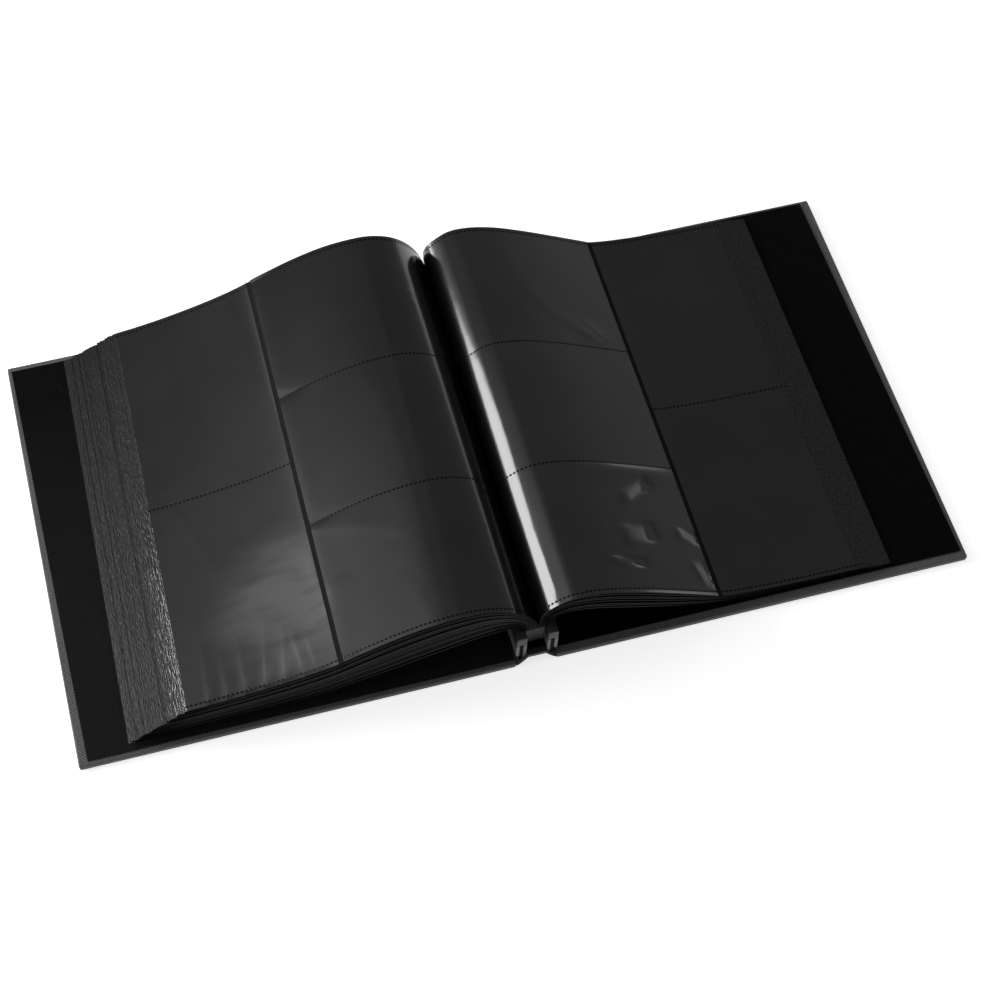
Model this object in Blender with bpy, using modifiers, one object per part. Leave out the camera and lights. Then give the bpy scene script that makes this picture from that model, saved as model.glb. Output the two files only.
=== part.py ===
"""Open slip-in photo album: a wrapped case, two binding rails and a block of pocket leaves.

The album lies open on a table, seen from its foot at -Y. The spine runs along Y over the origin,
the covers lie left (-X) and right (+X) of it, and Z is up. All lengths are in metres.
"""
import math

import bmesh
import bpy
from mathutils import Vector, geometry

# Case: boards wrapped in covering material, with a lining sheet inside
COVER_OVERHANG = 0.0075
COVER_WIDTH = 0.3034
COVER_THICKNESS = 0.0054
WRAP_THICKNESS = 0.0009
TURN_IN = 0.015
EDGE_ROUND = 0.0008
LINING_THICKNESS = 0.0006
LINING_SPINE_INSET = 0.0014
LEFT_LINING_FORE_HEAD = 0.0030
LEFT_LINING_FORE_FOOT = 0.0065
LEFT_LINING_HEAD = 0.0045
LEFT_LINING_FOOT = 0.0033
RIGHT_LINING_FORE_HEAD = 0.0075
RIGHT_LINING_FORE_FOOT = 0.0035
RIGHT_LINING_HEAD = 0.0028
RIGHT_LINING_FOOT = 0.0058

# Spine strip, lifted off the table when the album lies open
SPINE_WIDTH = 0.0140
SPINE_LIFT = 0.0120
SPINE_BOARD_THICKNESS = 0.0010
SPINE_TURN_IN = 0.010
SPINE_LINING_INSET = 0.0040
JOINT_THICKNESS = 0.0007
JOINT_FOOT_HEIGHT = 0.0025
HINGE_SETBACK = 0.0009

# Binding rails with a fork below, the tongues they grip and the core between them
RAIL_END_INSET = 0.002
RAIL_WIDTH = 0.0074
RAIL_TOP = 0.038
RAIL_CHAMFER = 0.0012
OUTER_PRONG_BOTTOM = 0.0134
SLOT_WIDTH = 0.0027
SLOT_TOP = 0.029
CORE_BOTTOM = 0.020
CORE_TOP = 0.034
RIVET_COUNT = 4
RIVET_END_DISTANCE = 0.025
RIVET_SHANK_RADIUS = 0.0015
RIVET_HEAD_RADIUS = 0.0026
RIVET_HEAD_THICKNESS = 0.0010
RIVET_SIDES = 12

# Leaves: flexible pocket sheets with their feet in the binding; the lowest one on the left is set
# less deep and stands out farther by the extra
LEFT_LEAVES = 22
RIGHT_LEAVES = 8
LEAF_HEIGHT = 0.315
LEAF_LENGTH = 0.272
LEFT_BOTTOM_EXTRA = 0.0085
LEAF_THICKNESS = 0.00025
LEAF_PITCH = 0.000467

# How the top and bottom leaf of each side hang. The crest is measured from the leaf's own foot
# and the rail's top, the slit and the fore edge from the spine's middle and the cover's lining.
LEFT_TOP_CREST_OUT = 0.0519
LEFT_TOP_CREST_RISE = 0.0450
LEFT_TOP_SLIT_OUT = 0.1320
LEFT_TOP_SLIT_RISE = 0.0512
LEFT_TOP_SLOPE_IN = 0.52
LEFT_TOP_SLOPE_OUT = 0.54
LEFT_TOP_EDGE_OUT = 0.2395
LEFT_TOP_EDGE_RISE = 0.0272
LEFT_BOTTOM_CREST_OUT = 0.0136
LEFT_BOTTOM_CREST_RISE = 0.0104
LEFT_BOTTOM_SLIT_OUT = 0.1320
LEFT_BOTTOM_SLIT_RISE = 0.0148
LEFT_BOTTOM_SLOPE_IN = 0.24
LEFT_BOTTOM_SLOPE_OUT = 0.35
LEFT_BOTTOM_EDGE_OUT = 0.2790
LEFT_BOTTOM_EDGE_RISE = 0.0031
RIGHT_TOP_CREST_OUT = 0.0236
RIGHT_TOP_CREST_RISE = 0.0334
RIGHT_TOP_SLIT_OUT = 0.1335
RIGHT_TOP_SLIT_RISE = 0.0143
RIGHT_TOP_SLOPE_IN = 0.59
RIGHT_TOP_SLOPE_OUT = 0.33
RIGHT_TOP_EDGE_OUT = 0.2401
RIGHT_TOP_EDGE_RISE = 0.0054
RIGHT_BOTTOM_CREST_OUT = 0.0158
RIGHT_BOTTOM_CREST_RISE = 0.0147
RIGHT_BOTTOM_SLIT_OUT = 0.1340
RIGHT_BOTTOM_SLIT_RISE = 0.0062
RIGHT_BOTTOM_SLOPE_IN = 0.26
RIGHT_BOTTOM_SLOPE_OUT = 0.27
RIGHT_BOTTOM_EDGE_OUT = 0.2625
RIGHT_BOTTOM_EDGE_RISE = 0.0010

# How far each arc of a leaf pulls on at its ends, as shares of the arc, and the leaves' lean
FOOT_PULL = 0.75
CREST_PULL_IN = 0.37
CREST_PULL_OUT = 0.214
SLIT_PULL_IN = 0.528
SLIT_PULL_OUT = 0.2
EDGE_PULL = 0.2
FOOT_LEAN = -0.25

# Gap between pieces that are glued, nested or run on each other
FIT = 0.0003

# Sizes and places that follow from the ones above
COVER_HEIGHT = LEAF_HEIGHT + 2 * COVER_OVERHANG
SPINE_LINING_LENGTH = COVER_HEIGHT - 2 * SPINE_LINING_INSET
RAIL_LENGTH = COVER_HEIGHT - 2 * RAIL_END_INSET
RIVET_SPACING = (RAIL_LENGTH - 2 * RIVET_END_DISTANCE) / (RIVET_COUNT - 1)
BUNDLE_HALF = (LEFT_LEAVES + RIGHT_LEAVES) * LEAF_PITCH / 2
RAIL_INNER = BUNDLE_HALF + FIT
RAIL_OUTER = RAIL_INNER + RAIL_WIDTH
SLOT_MIDDLE = RAIL_INNER + RAIL_WIDTH / 2
LINING_BOTTOM = COVER_THICKNESS + FIT
LINING_TOP = LINING_BOTTOM + LINING_THICKNESS
HINGE_X = RAIL_OUTER + FIT
HINGE_Z = LINING_TOP
COVER_INNER = HINGE_X - HINGE_SETBACK
SPINE_BOARD_BOTTOM = SPINE_LIFT + WRAP_THICKNESS + FIT
SPINE_BOARD_TOP = SPINE_BOARD_BOTTOM + SPINE_BOARD_THICKNESS
SPINE_WRAP_TOP = SPINE_BOARD_TOP + FIT + WRAP_THICKNESS
SPINE_LINING_BOTTOM = SPINE_WRAP_TOP + FIT
LEAF_FOOT = CORE_TOP + FIT
RIVET_Z = (SLOT_TOP + CORE_TOP) / 2

# How smoothly a leaf is bent: chords on the way up, over and down
UP_CHORDS = 8
OVER_CHORDS = 6
DOWN_CHORDS = 6


def srgb_to_linear(channel):
    """Linear value of one sRGB channel between 0 and 1."""
    if channel <= 0.04045:
        return channel / 12.92
    return ((channel + 0.055) / 1.055) ** 2.4


def make_material(name, hex_colour, roughness, metallic=0.0):
    """A plain Principled material from an sRGB hex colour."""
    material = bpy.data.materials.new(name)
    material.use_nodes = True
    shader = material.node_tree.nodes["Principled BSDF"]
    channels = [int(hex_colour[i:i + 2], 16) / 255 for i in (0, 2, 4)]
    shader.inputs["Base Color"].default_value = [srgb_to_linear(c) for c in channels] + [1.0]
    shader.inputs["Roughness"].default_value = roughness
    shader.inputs["Metallic"].default_value = metallic
    return material


def clear_scene():
    """Removes what a new scene holds."""
    for obj in list(bpy.data.objects):
        bpy.data.objects.remove(obj, do_unlink=True)


def make_collection(name):
    """A new collection in the scene."""
    collection = bpy.data.collections.new(name)
    bpy.context.scene.collection.children.link(collection)
    return collection


def add_object(name, data, collection, material=None, location=(0, 0, 0), parent=None):
    """Puts data in the scene at a world place, under a parent that is not turned."""
    obj = bpy.data.objects.new(name, data)
    collection.objects.link(obj)
    if material:
        data.materials.append(material)
    obj.location = Vector(location)
    if parent:
        obj.parent = parent
        obj.location -= parent.location
    return obj


def box_mesh(name, size):
    """A box of the given size around its own middle."""
    mesh = bpy.data.meshes.new(name)
    shape = bmesh.new()
    bmesh.ops.create_cube(shape, size=1.0)
    bmesh.ops.scale(shape, vec=Vector(size), verts=shape.verts)
    shape.to_mesh(mesh)
    shape.free()
    return mesh


def outline_curve(name, outline, depth):
    """A flat closed outline, filled and drawn out by depth."""
    curve = bpy.data.curves.new(name, "CURVE")
    curve.dimensions = "2D"
    curve.fill_mode = "BOTH"
    curve.extrude = depth / 2
    spline = curve.splines.new("POLY")
    spline.points.add(len(outline) - 1)
    for point, (across, up) in zip(spline.points, outline):
        point.co = (across, up, 0.0, 1.0)
    spline.use_cyclic_u = True
    return curve


def add_profile(name, outline, depth, collection, material, location=(0, 0, 0), parent=None):
    """A section in the XZ plane, drawn out along Y."""
    obj = add_object(name, outline_curve(name, outline, depth), collection, material, location, parent)
    obj.rotation_euler = (math.pi / 2, 0, 0)
    return obj


def curve_to_mesh(obj):
    """Replaces a curve object by a welded mesh object, which can be cut."""
    bpy.context.view_layer.update()
    evaluated = obj.evaluated_get(bpy.context.evaluated_depsgraph_get())
    mesh = bpy.data.meshes.new_from_object(evaluated)
    shape = bmesh.new()
    shape.from_mesh(mesh)
    bmesh.ops.remove_doubles(shape, verts=shape.verts, dist=1e-6)
    shape.to_mesh(mesh)
    shape.free()
    name, matrix, collection = obj.name, obj.matrix_world.copy(), obj.users_collection[0]
    bpy.data.objects.remove(obj, do_unlink=True)
    solid = bpy.data.objects.new(name, mesh)
    collection.objects.link(solid)
    solid.matrix_world = matrix
    return solid


def add_cutter(name, mesh, collection, location):
    """A guide solid that is only cut away from others."""
    cutter = add_object(name, mesh, collection, location=location)
    cutter.hide_render = True
    cutter.display_type = "WIRE"
    return cutter


def cut(obj, cutter):
    """Cuts one solid out of another."""
    modifier = obj.modifiers.new("cut_" + cutter.name, "BOOLEAN")
    modifier.operation = "DIFFERENCE"
    modifier.solver = "EXACT"
    modifier.object = cutter


def band(points, thickness):
    """Outline of a band of even thickness along a line of points."""
    left, right = [], []
    for index, point in enumerate(points):
        before = points[max(index - 1, 0)]
        after = points[min(index + 1, len(points) - 1)]
        along = (after - before).normalized()
        side = Vector((-along.y, along.x)) * thickness / 2
        left.append(point + side)
        right.append(point - side)
    return left + right[::-1]


def build_cover(label, side, margins, album, cutters, looks):
    """Board, wrap and lining of one cover; side is -1 for left and +1 for right."""
    hinge = bpy.data.objects.new(label + "_cover_hinge", None)
    album.objects.link(hinge)
    hinge.location = (side * HINGE_X, 0, HINGE_Z)
    middle_x = side * (COVER_INNER + COVER_WIDTH / 2)
    middle_z = COVER_THICKNESS / 2

    wrap = add_object(label + "_cover_wrap", box_mesh("wrap", (COVER_WIDTH, COVER_HEIGHT, COVER_THICKNESS)),
                      album, looks["wrap"], (middle_x, 0, middle_z), hinge)
    bevel = wrap.modifiers.new("round_edges", "BEVEL")
    bevel.width = EDGE_ROUND
    bevel.segments = 2
    inside = (COVER_WIDTH - 2 * WRAP_THICKNESS, COVER_HEIGHT - 2 * WRAP_THICKNESS,
              COVER_THICKNESS - 2 * WRAP_THICKNESS)
    window = (COVER_WIDTH - 2 * TURN_IN, COVER_HEIGHT - 2 * TURN_IN, COVER_THICKNESS)
    cut(wrap, add_cutter(label + "_board_room", box_mesh("board_room", inside), cutters,
                         (middle_x, 0, middle_z)))
    cut(wrap, add_cutter(label + "_lining_window", box_mesh("lining_window", window), cutters,
                         (middle_x, 0, COVER_THICKNESS)))

    board = [length - 2 * FIT for length in inside]
    add_object(label + "_cover_board", box_mesh("board", board), album, looks["board"],
               (middle_x, 0, middle_z), hinge)

    fore_head, fore_foot, head, foot = margins
    outer = COVER_INNER + COVER_WIDTH
    inner = side * (COVER_INNER + LINING_SPINE_INSET)
    half = COVER_HEIGHT / 2
    corners = [(inner, foot - half), (side * (outer - fore_foot), foot - half),
               (side * (outer - fore_head), half - head), (inner, half - head)]
    corners = [(x - middle_x, y) for x, y in corners]
    add_object(label + "_cover_lining", outline_curve("lining", corners, LINING_THICKNESS), album,
               looks["lining"], (middle_x, 0, LINING_BOTTOM + LINING_THICKNESS / 2), hinge)


def build_spine(album, looks):
    """The spine strip: board, wrap with turned-in ends, and lining."""
    half = COVER_HEIGHT / 2
    inner = half - WRAP_THICKNESS
    lip = half - SPINE_TURN_IN
    lip_bottom = SPINE_WRAP_TOP - WRAP_THICKNESS
    floor = SPINE_LIFT + WRAP_THICKNESS
    outline = [(-half, SPINE_LIFT), (half, SPINE_LIFT), (half, SPINE_WRAP_TOP), (lip, SPINE_WRAP_TOP),
               (lip, lip_bottom), (inner, lip_bottom), (inner, floor), (-inner, floor),
               (-inner, lip_bottom), (-lip, lip_bottom), (-lip, SPINE_WRAP_TOP), (-half, SPINE_WRAP_TOP)]
    wrap = add_object("spine_wrap", outline_curve("spine_wrap", outline, SPINE_WIDTH), album, looks["wrap"])
    wrap.rotation_euler = (math.pi / 2, 0, math.pi / 2)
    board = (SPINE_WIDTH, 2 * (inner - FIT), SPINE_BOARD_THICKNESS)
    add_object("spine_board", box_mesh("spine_board", board), album, looks["board"],
               (0, 0, SPINE_BOARD_BOTTOM + SPINE_BOARD_THICKNESS / 2))
    lining = (SPINE_WIDTH, SPINE_LINING_LENGTH, LINING_THICKNESS)
    add_object("spine_lining", box_mesh("spine_lining", lining), album, looks["lining"],
               (0, 0, SPINE_LINING_BOTTOM + LINING_THICKNESS / 2))


def joint_line(side):
    """Middle line of a joint strip, from the cover's edge up to the spine strip."""
    foot = Vector((side * (COVER_INNER - 2 * FIT), JOINT_FOOT_HEIGHT))
    head = Vector((side * (SPINE_WIDTH / 2 + 2 * FIT), SPINE_LIFT))
    return foot, head


def joint_surface(side, x):
    """Height of a joint strip's upper face at x."""
    foot, head = joint_line(side)
    along = (head - foot).normalized()
    middle = foot.y + (x - foot.x) / (head.x - foot.x) * (head.y - foot.y)
    return middle + JOINT_THICKNESS / 2 / abs(along.x)


def build_joint(label, side, album, looks):
    """The flexible strip between a cover and the spine, and the tongue that stands on it."""
    foot, head = joint_line(side)
    strip = band([foot, head], JOINT_THICKNESS)
    add_profile(label + "_joint_strip", strip, COVER_HEIGHT, album, looks["wrap"])

    middle = side * SLOT_MIDDLE
    reach = SLOT_WIDTH / 2 - FIT
    near, far = middle - reach, middle + reach
    top = SLOT_TOP - FIT
    tongue = [(near, joint_surface(side, near) + FIT), (far, joint_surface(side, far) + FIT),
              (far, top), (near, top)]
    add_profile(label + "_hinge_tongue", tongue, RAIL_LENGTH, album, looks["lining"])


def build_rail(label, side, album, cutters, looks):
    """A binding rail: a bar with a fork below, cut off along the joint, drilled and sunk for the rivets."""
    slot_near = SLOT_MIDDLE - SLOT_WIDTH / 2
    slot_far = SLOT_MIDDLE + SLOT_WIDTH / 2
    heel = joint_surface(1, RAIL_INNER) + FIT
    point = joint_surface(1, slot_near) + FIT
    outline = [(RAIL_INNER, heel), (slot_near, point), (slot_near, SLOT_TOP), (slot_far, SLOT_TOP),
               (slot_far, OUTER_PRONG_BOTTOM), (RAIL_OUTER, OUTER_PRONG_BOTTOM),
               (RAIL_OUTER, RAIL_TOP - RAIL_CHAMFER), (RAIL_OUTER - RAIL_CHAMFER, RAIL_TOP),
               (RAIL_INNER, RAIL_TOP)]
    outline = [(side * x, z) for x, z in outline]
    rail = curve_to_mesh(add_profile(label + "_rail", outline, RAIL_LENGTH, album, looks["rail"]))
    for index, y in enumerate(rivet_places()):
        drill(rail, "%s_drill_%d" % (label, index + 1), RIVET_SHANK_RADIUS + FIT, 2 * RAIL_WIDTH,
              (side * SLOT_MIDDLE, y, RIVET_Z), cutters)
        drill(rail, "%s_sink_%d" % (label, index + 1), RIVET_HEAD_RADIUS + FIT,
              2 * (RIVET_HEAD_THICKNESS + FIT), (side * RAIL_OUTER, y, RIVET_Z), cutters)


def rivet_places():
    """Where the rivets sit along the spine."""
    first = RIVET_END_DISTANCE - RAIL_LENGTH / 2
    return [first + index * RIVET_SPACING for index in range(RIVET_COUNT)]


def rod_mesh(radius, length):
    """A round rod along Z around its own middle."""
    mesh = bpy.data.meshes.new("rod")
    shape = bmesh.new()
    bmesh.ops.create_cone(shape, cap_ends=True, segments=RIVET_SIDES, radius1=radius, radius2=radius,
                          depth=length)
    shape.to_mesh(mesh)
    shape.free()
    return mesh


def drill(obj, name, radius, length, location, cutters):
    """Bores a round hole along X."""
    cutter = add_cutter(name, rod_mesh(radius, length), cutters, location)
    cutter.rotation_euler.y = math.pi / 2
    cut(obj, cutter)


def build_rivets(album, looks):
    """Rivets across both rails and the core, with flush heads."""
    end = RAIL_OUTER
    neck = RAIL_OUTER - RIVET_HEAD_THICKNESS
    profile = [(0, end), (RIVET_HEAD_RADIUS, end), (RIVET_HEAD_RADIUS, neck), (RIVET_SHANK_RADIUS, neck),
               (RIVET_SHANK_RADIUS, -neck), (RIVET_HEAD_RADIUS, -neck), (RIVET_HEAD_RADIUS, -end), (0, -end)]
    for index, y in enumerate(rivet_places()):
        mesh = bpy.data.meshes.new("rivet")
        shape = bmesh.new()
        points = [shape.verts.new((radius, 0, height)) for radius, height in profile]
        for first, second in zip(points, points[1:]):
            shape.edges.new((first, second))
        shape.to_mesh(mesh)
        shape.free()
        rivet = add_object("binding_rivet_%d" % (index + 1), mesh, album, looks["rivet"], (0, y, RIVET_Z))
        rivet.rotation_euler.y = math.pi / 2
        turn = rivet.modifiers.new("turn", "SCREW")
        turn.steps = RIVET_SIDES
        turn.render_steps = RIVET_SIDES
        turn.use_merge_vertices = True
        turn.merge_threshold = 0.00001
        turn.use_smooth_shade = False


def build_core(album, cutters, looks):
    """The core strip under the leaves' feet, drilled for the rivets."""
    size = (2 * (RAIL_INNER - FIT), LEAF_HEIGHT, CORE_TOP - CORE_BOTTOM)
    core = add_object("binding_core", box_mesh("binding_core", size), album, looks["core"],
                      (0, 0, (CORE_TOP + CORE_BOTTOM) / 2))
    for index, y in enumerate(rivet_places()):
        drill(core, "core_drill_%d" % (index + 1), RIVET_SHANK_RADIUS + FIT, 4 * RAIL_INNER,
              (0, y, RIVET_Z), cutters)


def leaf_arcs(side, foot_x, hang):
    """The three arcs of a hanging leaf, each as four points of a cubic curve."""
    crest_out, crest_rise, slit_out, slit_rise, slope_in, slope_out, edge_out, edge_rise = hang
    foot = Vector((foot_x, RAIL_TOP))
    crest = Vector((foot_x + side * crest_out, RAIL_TOP + crest_rise))
    slit = Vector((side * slit_out, LINING_TOP + slit_rise))
    edge = Vector((side * edge_out, LINING_TOP + edge_rise))
    level = Vector((side, 0))
    over = abs(slit.x - crest.x)
    down = abs(edge.x - slit.x)
    up_arc = (foot, foot + Vector((FOOT_LEAN, 1)) * crest_rise * FOOT_PULL,
              crest - level * crest_out * CREST_PULL_IN, crest)
    over_arc = (crest, crest + level * over * CREST_PULL_OUT,
                slit - Vector((side, -slope_in)) * over * SLIT_PULL_IN, slit)
    down_arc = (slit, slit + Vector((side, -slope_out)) * down * SLIT_PULL_OUT,
                edge - level * down * EDGE_PULL, edge)
    return up_arc, over_arc, down_arc


def leaf_path(arcs, length):
    """Points along a leaf's free part, ended at its length."""
    points = []
    for arc, chords in zip(arcs, (UP_CHORDS, OVER_CHORDS, DOWN_CHORDS)):
        knots = [Vector((p.x, p.y, 0)) for p in arc]
        run = [Vector((p.x, p.y)) for p in geometry.interpolate_bezier(*knots, chords + 1)]
        points += run[1:] if points else run
    kept, left = [points[0]], length
    for before, after in zip(points, points[1:]):
        step = (after - before).length
        last = after is points[-1]
        if step >= left or last:
            kept.append(before + (after - before) * left / step)
            break
        kept.append(after)
        left -= step
    return kept


def build_leaves(side, first, count, bottom, top, extra, album, looks):
    """The leaves on one side, nested from the bottom leaf's hang and extra length to the top leaf's."""
    for index in range(count):
        number = first + index
        share = index / (count - 1)
        if side > 0:
            share = 1 - share
        foot_x = -BUNDLE_HALF + (number - 0.5) * LEAF_PITCH
        hang = [low + (high - low) * share for low, high in zip(bottom, top)]
        length = LEAF_LENGTH + extra * (1 - share)
        path = [Vector((foot_x, LEAF_FOOT))] + leaf_path(leaf_arcs(side, foot_x, hang), length)
        origin = Vector((foot_x, RAIL_TOP))
        outline = [point - origin for point in band(path, LEAF_THICKNESS)]
        add_profile("leaf_%02d" % number, outline, LEAF_HEIGHT, album, looks["leaf"], (foot_x, 0, RAIL_TOP))


def build_album():
    """The whole album."""
    clear_scene()
    album = make_collection("photo_album")
    cutters = make_collection("photo_album_cutters")
    looks = {
        "wrap": make_material("ribbed_covering", "3c3c3d", 0.62),
        "board": make_material("grey_board", "8a857c", 0.9),
        "lining": make_material("black_lining", "0d0d0e", 0.7),
        "rail": make_material("grey_rail_plastic", "5e5e60", 0.5),
        "core": make_material("dark_core_plastic", "2e2e30", 0.55),
        "rivet": make_material("steel_rivet", "b4b4b4", 0.35, 1.0),
        "leaf": make_material("black_pocket_film", "262728", 0.25),
    }
    build_cover("left", -1, (LEFT_LINING_FORE_HEAD, LEFT_LINING_FORE_FOOT, LEFT_LINING_HEAD,
                             LEFT_LINING_FOOT), album, cutters, looks)
    build_cover("right", 1, (RIGHT_LINING_FORE_HEAD, RIGHT_LINING_FORE_FOOT, RIGHT_LINING_HEAD,
                             RIGHT_LINING_FOOT), album, cutters, looks)
    build_spine(album, looks)
    for label, side in (("left", -1), ("right", 1)):
        build_joint(label, side, album, looks)
        build_rail(label, side, album, cutters, looks)
    build_core(album, cutters, looks)
    build_rivets(album, looks)
    left_bottom = (LEFT_BOTTOM_CREST_OUT, LEFT_BOTTOM_CREST_RISE, LEFT_BOTTOM_SLIT_OUT, LEFT_BOTTOM_SLIT_RISE,
                   LEFT_BOTTOM_SLOPE_IN, LEFT_BOTTOM_SLOPE_OUT, LEFT_BOTTOM_EDGE_OUT, LEFT_BOTTOM_EDGE_RISE)
    left_top = (LEFT_TOP_CREST_OUT, LEFT_TOP_CREST_RISE, LEFT_TOP_SLIT_OUT, LEFT_TOP_SLIT_RISE,
                LEFT_TOP_SLOPE_IN, LEFT_TOP_SLOPE_OUT, LEFT_TOP_EDGE_OUT, LEFT_TOP_EDGE_RISE)
    right_bottom = (RIGHT_BOTTOM_CREST_OUT, RIGHT_BOTTOM_CREST_RISE, RIGHT_BOTTOM_SLIT_OUT,
                    RIGHT_BOTTOM_SLIT_RISE, RIGHT_BOTTOM_SLOPE_IN, RIGHT_BOTTOM_SLOPE_OUT,
                    RIGHT_BOTTOM_EDGE_OUT, RIGHT_BOTTOM_EDGE_RISE)
    right_top = (RIGHT_TOP_CREST_OUT, RIGHT_TOP_CREST_RISE, RIGHT_TOP_SLIT_OUT, RIGHT_TOP_SLIT_RISE,
                 RIGHT_TOP_SLOPE_IN, RIGHT_TOP_SLOPE_OUT, RIGHT_TOP_EDGE_OUT, RIGHT_TOP_EDGE_RISE)
    build_leaves(-1, 1, LEFT_LEAVES, left_bottom, left_top, LEFT_BOTTOM_EXTRA, album, looks)
    build_leaves(1, LEFT_LEAVES + 1, RIGHT_LEAVES, right_bottom, right_top, 0.0, album, looks)


build_album()
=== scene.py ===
"""Dressed scene of the open slip-in photo album: case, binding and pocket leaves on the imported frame."""

import math
import random

import bmesh
import bpy
import numpy as np
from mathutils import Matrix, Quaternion, Vector


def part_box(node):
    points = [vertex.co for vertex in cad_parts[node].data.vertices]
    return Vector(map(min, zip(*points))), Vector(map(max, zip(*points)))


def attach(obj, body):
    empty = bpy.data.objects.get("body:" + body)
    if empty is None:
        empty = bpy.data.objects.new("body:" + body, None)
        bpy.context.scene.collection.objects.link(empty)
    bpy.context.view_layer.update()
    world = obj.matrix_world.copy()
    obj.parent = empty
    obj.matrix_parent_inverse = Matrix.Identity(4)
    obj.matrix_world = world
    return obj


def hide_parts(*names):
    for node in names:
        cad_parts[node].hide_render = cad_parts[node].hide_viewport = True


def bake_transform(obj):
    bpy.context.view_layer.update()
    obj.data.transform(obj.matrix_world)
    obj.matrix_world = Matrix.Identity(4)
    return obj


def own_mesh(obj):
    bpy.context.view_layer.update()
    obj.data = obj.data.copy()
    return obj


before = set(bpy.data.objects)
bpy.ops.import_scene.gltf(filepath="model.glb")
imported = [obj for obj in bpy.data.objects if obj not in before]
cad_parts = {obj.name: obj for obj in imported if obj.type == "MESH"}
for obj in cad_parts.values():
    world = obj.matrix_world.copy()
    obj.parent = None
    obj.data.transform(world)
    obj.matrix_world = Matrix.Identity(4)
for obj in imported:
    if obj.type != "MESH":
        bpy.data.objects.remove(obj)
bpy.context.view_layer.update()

MM = 0.001

# The leaves' hang in millimetres, as the solids have it but for the edge rise of the lowest right leaf
RAIL_TOP = 38.0
LINING_TOP = 6.3
LEFT_LEAVES = 22
RIGHT_LEAVES = 8
LEAF_PITCH = 0.467
BUNDLE_HALF = (LEFT_LEAVES + RIGHT_LEAVES) * LEAF_PITCH / 2
LEAF_HALF_HEIGHT = 157.5
LEAF_LENGTH = 272.0
LEFT_BOTTOM_EXTRA = 8.5
LEAF_THICKNESS = 0.25
POCKET_BULGE = 0.4
BULGE_START, BULGE_RISE, BULGE_FALL = 12.0, 30.0, 40.0
# crest out, crest rise, slit out, slit rise, slope in, slope out, edge out, edge rise
LEFT_BOTTOM = (13.6, 10.4, 132.0, 14.8, 0.24, 0.35, 279.0, 3.1)
LEFT_TOP = (51.9, 45.0, 132.0, 51.2, 0.52, 0.54, 239.5, 27.2)
RIGHT_BOTTOM = (15.8, 14.7, 134.0, 6.2, 0.26, 0.27, 262.5, 2.6)
RIGHT_TOP = (23.6, 33.4, 133.5, 14.3, 0.59, 0.33, 240.1, 5.4)
FOOT_PULL, CREST_PULL_IN, CREST_PULL_OUT = 0.75, 0.37, 0.214
SLIT_PULL_IN, SLIT_PULL_OUT, EDGE_PULL = 0.528, 0.2, 0.2
FOOT_LEAN = -0.25
LIFT_HEIGHT = 49.6
EDGE_RUN = 12.0
ARC_CHORDS = 60
# How far a lower leaf may lie off along its height, and be cut short or long
LAY_SHIFT, CUT_SHORT, CUT_LONG = 0.6, -1.0, 0.8
# What the top left leaf gains at its head and loses at its foot, and how much the bottom one is skewed
LEFT_TWIST = (-1.5, 2.2, 0.0, 1.2, 0.02, 0.03, -1.0, -4.0)
LEFT_SKEW = 3.5

# Layout of a page, in millimetres along the sheet from where it leaves the rails
SLIT_WIDTH = 3.8
LEFT_SLIT = 162.0
RIGHT_SLIT = 166.0
SLIT_CLEAR = 1.5
WELD_INSET = 3.0
FILM_EDGE = 0.3
STEP_RUN = 0.05
GUTTER_WELD = 12.0
DASH_START = 20.0
GUTTER_EASE = 1.25
EASE_RISE, EASE_END, EASE_FALL = 8.0, 85.0, 50.0
INNER_DIVIDERS = (-52.0, 52.0)
OUTER_DIVIDERS = (0.0,)
DASH_PITCH = 3.05
WELD_STEP = 2.0
PROBE = np.array((-0.5, 0.0, 0.5))
DASH_SIZE = (2.3, 1.5, 0.16)
FILM_LIFT = 0.25
FILM_PILLOW = 0.02
FLAT_RUN, FLAT_LEAST = 25.0, 0.2
WELD_REACH = 3.0
GENTLE_SIDE = 3.0
# Steps of the nets: film, around its welds, roots along Y, lower leaves along the sheet and along Y
FILM_NET, WELD_NET, ROOT_NET, LEAF_NET = 1.75, (0.9, 2.0), 8.0, (5.0, 15.0)
# Lengths along a page with a fine net of film, and the net's step, left and right
FINE_FILM = {-1: (174.0, 258.0, 0.7), 1: (92.0, 163.2, 1.1)}
FINE_BEFORE, FINE_AFTER = 0.6, 0.4
NET_CLEAR = 0.3
ROOT_ROWS = 6

# The pages' common map, where the top left leaf starts at 0 and any other leaf at its number of steps:
# the step in millimetres, then places in metres
PLACE_STEP = 331.0
TOP_LEFT_PLACES = 0.3
RIGHT_PLACES = 7.4
RIGHT_OUTER_COLUMN = ((LEFT_LEAVES + 1) * PLACE_STEP + RIGHT_SLIT) * MM
UPPER_START, UPPER_END = 5.6, 7.3
RIM_START, RIM_END = 0.2704, 0.2709
GLARE_PLACE = (0.182, -0.105, 0.0)

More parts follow.
